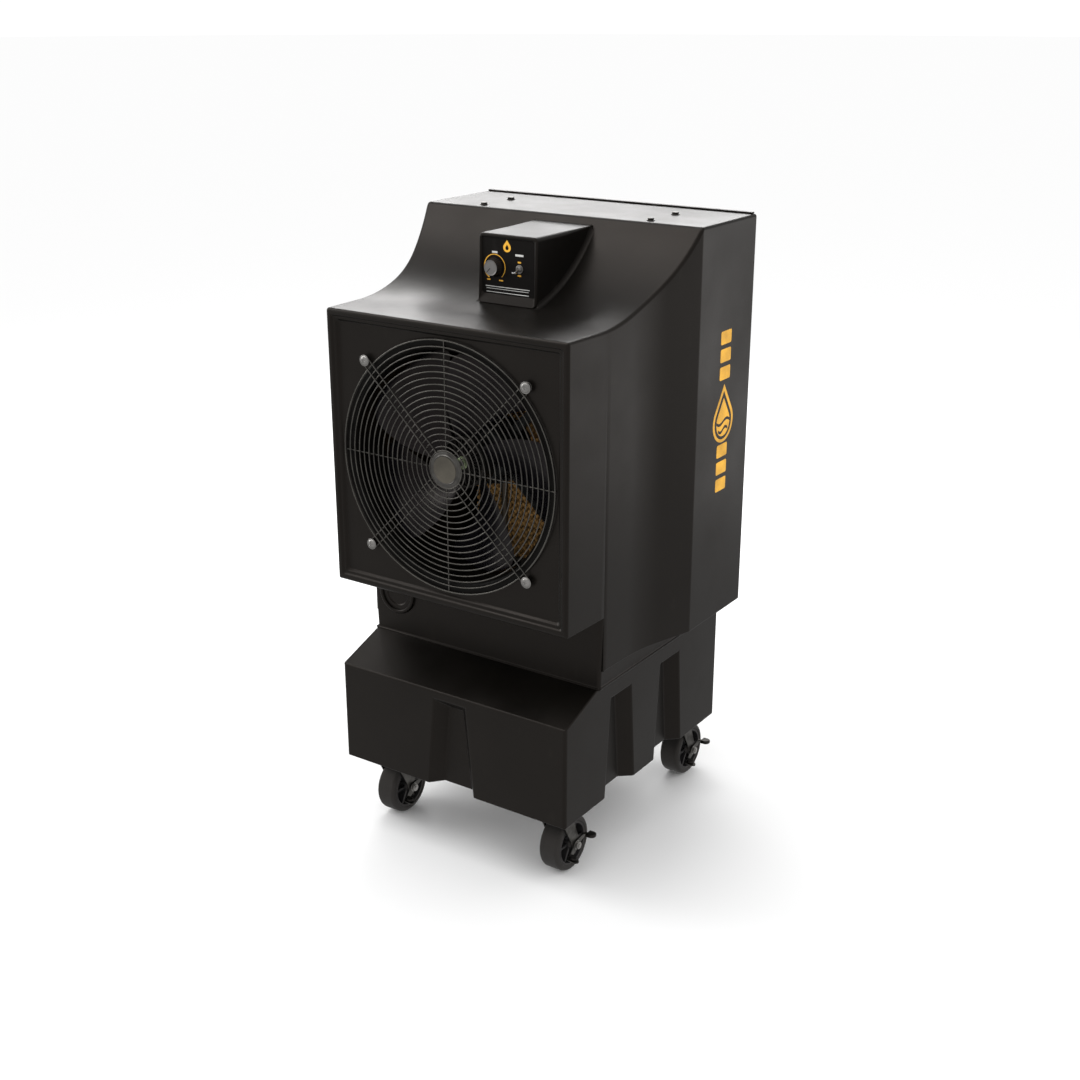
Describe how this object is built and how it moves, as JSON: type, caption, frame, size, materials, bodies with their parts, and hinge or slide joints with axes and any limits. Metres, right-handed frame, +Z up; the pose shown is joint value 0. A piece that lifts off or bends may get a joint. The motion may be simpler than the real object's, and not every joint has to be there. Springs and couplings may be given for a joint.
{
  "type": "portable evaporative cooler",
  "caption": "Portable evaporative cooler: square fan face with round wire guard, scooped hood over a wet pad, control box, and a water tank base on swivel casters.",
  "frame": {"origin": "on the floor, under the centre of the cooler's bounding box", "axes": "+Z up, -Y out of the fan's face, +X to the right of someone who stands behind it"},
  "size_m": [0.7068, 0.7008, 1.372],
  "materials": {
    "shell": "satin, fine orange-peel texture",
    "control_shell": "satin",
    "control_face": "satin overlay",
    "black_plastic": "satin",
    "knob_silver": "brushed",
    "bright_metal": "bright zinc",
    "guard_wire": "satin powder coat",
    "badge": "satin",
    "ring_metal": "satin",
    "fan_plastic": "satin",
    "motor_metal": "satin",
    "bracket_steel": "satin",
    "pad_cellulose": "rough corrugated cellulose",
    "pipe_plastic": "satin",
    "brass_fitting": "satin",
    "zinc_steel": "zinc plated",
    "wheel_plastic": "satin",
    "tyre_rubber": "smooth grey rubber"
  },
  "bodies": {
    "cabinet": {"upper_housing": "shell", "fan_panel": "shell", "housing_neck": "shell", "base_tank": "shell", "control_box": "control_shell", "control_panel": "control_face", "toggle_bushing": "bright_metal", "fan_guard": "guard_wire", "guard_badge": "badge", "guard_screws": "bright_metal", "venturi_ring": "ring_metal", "motor_body": "motor_metal", "motor_bracket": "bracket_steel", "evaporative_pad": "pad_cellulose", "pad_frame": "bracket_steel", "water_pipe": "pipe_plastic", "pump_riser": "pipe_plastic", "pump_body": "black_plastic", "float_valve": "black_plastic", "water_inlet": "brass_fitting", "top_bolts": "bright_metal", "port_cap": "black_plastic", "caster_bolts": "zinc_steel", "caster_plate_front_left": "zinc_steel", "caster_plate_front_right": "zinc_steel", "caster_plate_back_left": "zinc_steel", "caster_plate_back_right": "zinc_steel"},
    "fan": {"fan_hub": "fan_plastic", "motor_shaft": "bright_metal", "fan_blade_1": "fan_plastic", "fan_blade_2": "fan_plastic", "fan_blade_3": "fan_plastic", "fan_blade_4": "fan_plastic", "fan_blade_5": "fan_plastic"},
    "knob": {"speed_knob": "black_plastic", "speed_knob_cap": "knob_silver"},
    "toggle": {"toggle_lever": "bright_metal"},
    "impeller": {"pump_impeller": "black_plastic"},
    "float": {"float_arm": "black_plastic"},
    "drain": {"drain_plug": "black_plastic"},
    "caster_front_left": {"caster_fork_front_left": "zinc_steel", "caster_axle_front_left": "zinc_steel"},
    "wheel_front_left": {"wheel_core_front_left": "wheel_plastic", "tyre_front_left": "tyre_rubber"},
    "brake_front_left": {"brake_lever_front_left": "zinc_steel"},
    "caster_front_right": {"caster_fork_front_right": "zinc_steel", "caster_axle_front_right": "zinc_steel"},
    "wheel_front_right": {"wheel_core_front_right": "wheel_plastic", "tyre_front_right": "tyre_rubber"},
    "brake_front_right": {"brake_lever_front_right": "zinc_steel"},
    "caster_back_left": {"caster_fork_back_left": "zinc_steel", "caster_axle_back_left": "zinc_steel"},
    "wheel_back_left": {"wheel_core_back_left": "wheel_plastic", "tyre_back_left": "tyre_rubber"},
    "brake_back_left": {"brake_lever_back_left": "zinc_steel"},
    "caster_back_right": {"caster_fork_back_right": "zinc_steel", "caster_axle_back_right": "zinc_steel"},
    "wheel_back_right": {"wheel_core_back_right": "wheel_plastic", "tyre_back_right": "tyre_rubber"},
    "brake_back_right": {"brake_lever_back_right": "zinc_steel"}
  },
  "joints": [
    {"name": "fan_spin", "type": "hinge", "parent": "cabinet", "child": "fan", "pos_m": [0, -0.26313, 0.9015], "axis": [0, 1, 0], "continuous": true},
    {"name": "speed_knob_turn", "type": "hinge", "parent": "cabinet", "child": "knob", "pos_m": [-0.0096, -0.14953, 1.285], "axis": [0, 1, 0], "range_deg": [0, 270]},
    {"name": "toggle_tilt", "type": "hinge", "parent": "cabinet", "child": "toggle", "pos_m": [0.052, -0.14713, 1.286], "axis": [1, 0, 0], "range_deg": [-36, 0]},
    {"name": "impeller_spin", "type": "hinge", "parent": "cabinet", "child": "impeller", "pos_m": [-0.19, 0.13287, 0.188], "axis": [0, 0, 1], "continuous": true},
    {"name": "float_swing", "type": "hinge", "parent": "cabinet", "child": "float", "pos_m": [0.2, 0.25987, 0.388], "axis": [1, 0, 0], "range_deg": [-40, 0]},
    {"name": "drain_plug_turn", "type": "hinge", "parent": "cabinet", "child": "drain", "pos_m": [0, 0.31287, 0.196], "axis": [0, 1, 0], "continuous": true},
    {"name": "swivel_front_left", "type": "hinge", "parent": "cabinet", "child": "caster_front_left", "pos_m": [-0.227, -0.28113, 0.15], "axis": [0, 0, 1], "continuous": true},
    {"name": "wheel_roll_front_left", "type": "hinge", "parent": "caster_front_left", "child": "wheel_front_left", "pos_m": [-0.227, -0.24113, 0.0635], "axis": [1, 0, 0], "continuous": true},
    {"name": "brake_rock_front_left", "type": "hinge", "parent": "caster_front_left", "child": "brake_front_left", "pos_m": [-0.199, -0.24113, 0.0635], "axis": [1, 0, 0], "range_deg": [-20, 0]},
    {"name": "swivel_front_right", "type": "hinge", "parent": "cabinet", "child": "caster_front_right", "pos_m": [0.227, -0.28113, 0.15], "axis": [0, 0, 1], "continuous": true},
    {"name": "wheel_roll_front_right", "type": "hinge", "parent": "caster_front_right", "child": "wheel_front_right", "pos_m": [0.227, -0.24113, 0.0635], "axis": [1, 0, 0], "continuous": true},
    {"name": "brake_rock_front_right", "type": "hinge", "parent": "caster_front_right", "child": "brake_front_right", "pos_m": [0.255, -0.24113, 0.0635], "axis": [1, 0, 0], "range_deg": [-20, 0]},
    {"name": "swivel_back_left", "type": "hinge", "parent": "cabinet", "child": "caster_back_left", "pos_m": [-0.227, 0.24687, 0.15], "axis": [0, 0, 1], "continuous": true},
    {"name": "wheel_roll_back_left", "type": "hinge", "parent": "caster_back_left", "child": "wheel_back_left", "pos_m": [-0.227, 0.28687, 0.0635], "axis": [1, 0, 0], "continuous": true},
    {"name": "brake_rock_back_left", "type": "hinge", "parent": "caster_back_left", "child": "brake_back_left", "pos_m": [-0.199, 0.28687, 0.0635], "axis": [1, 0, 0], "range_deg": [-20, 0]},
    {"name": "swivel_back_right", "type": "hinge", "parent": "cabinet", "child": "caster_back_right", "pos_m": [0.227, 0.24687, 0.15], "axis": [0, 0, 1], "continuous": true},
    {"name": "wheel_roll_back_right", "type": "hinge", "parent": "caster_back_right", "child": "wheel_back_right", "pos_m": [0.227, 0.28687, 0.0635], "axis": [1, 0, 0], "continuous": true},
    {"name": "brake_rock_back_right", "type": "hinge", "parent": "caster_back_right", "child": "brake_back_right", "pos_m": [0.255, 0.28687, 0.0635], "axis": [1, 0, 0], "range_deg": [-20, 0]}
  ]
}
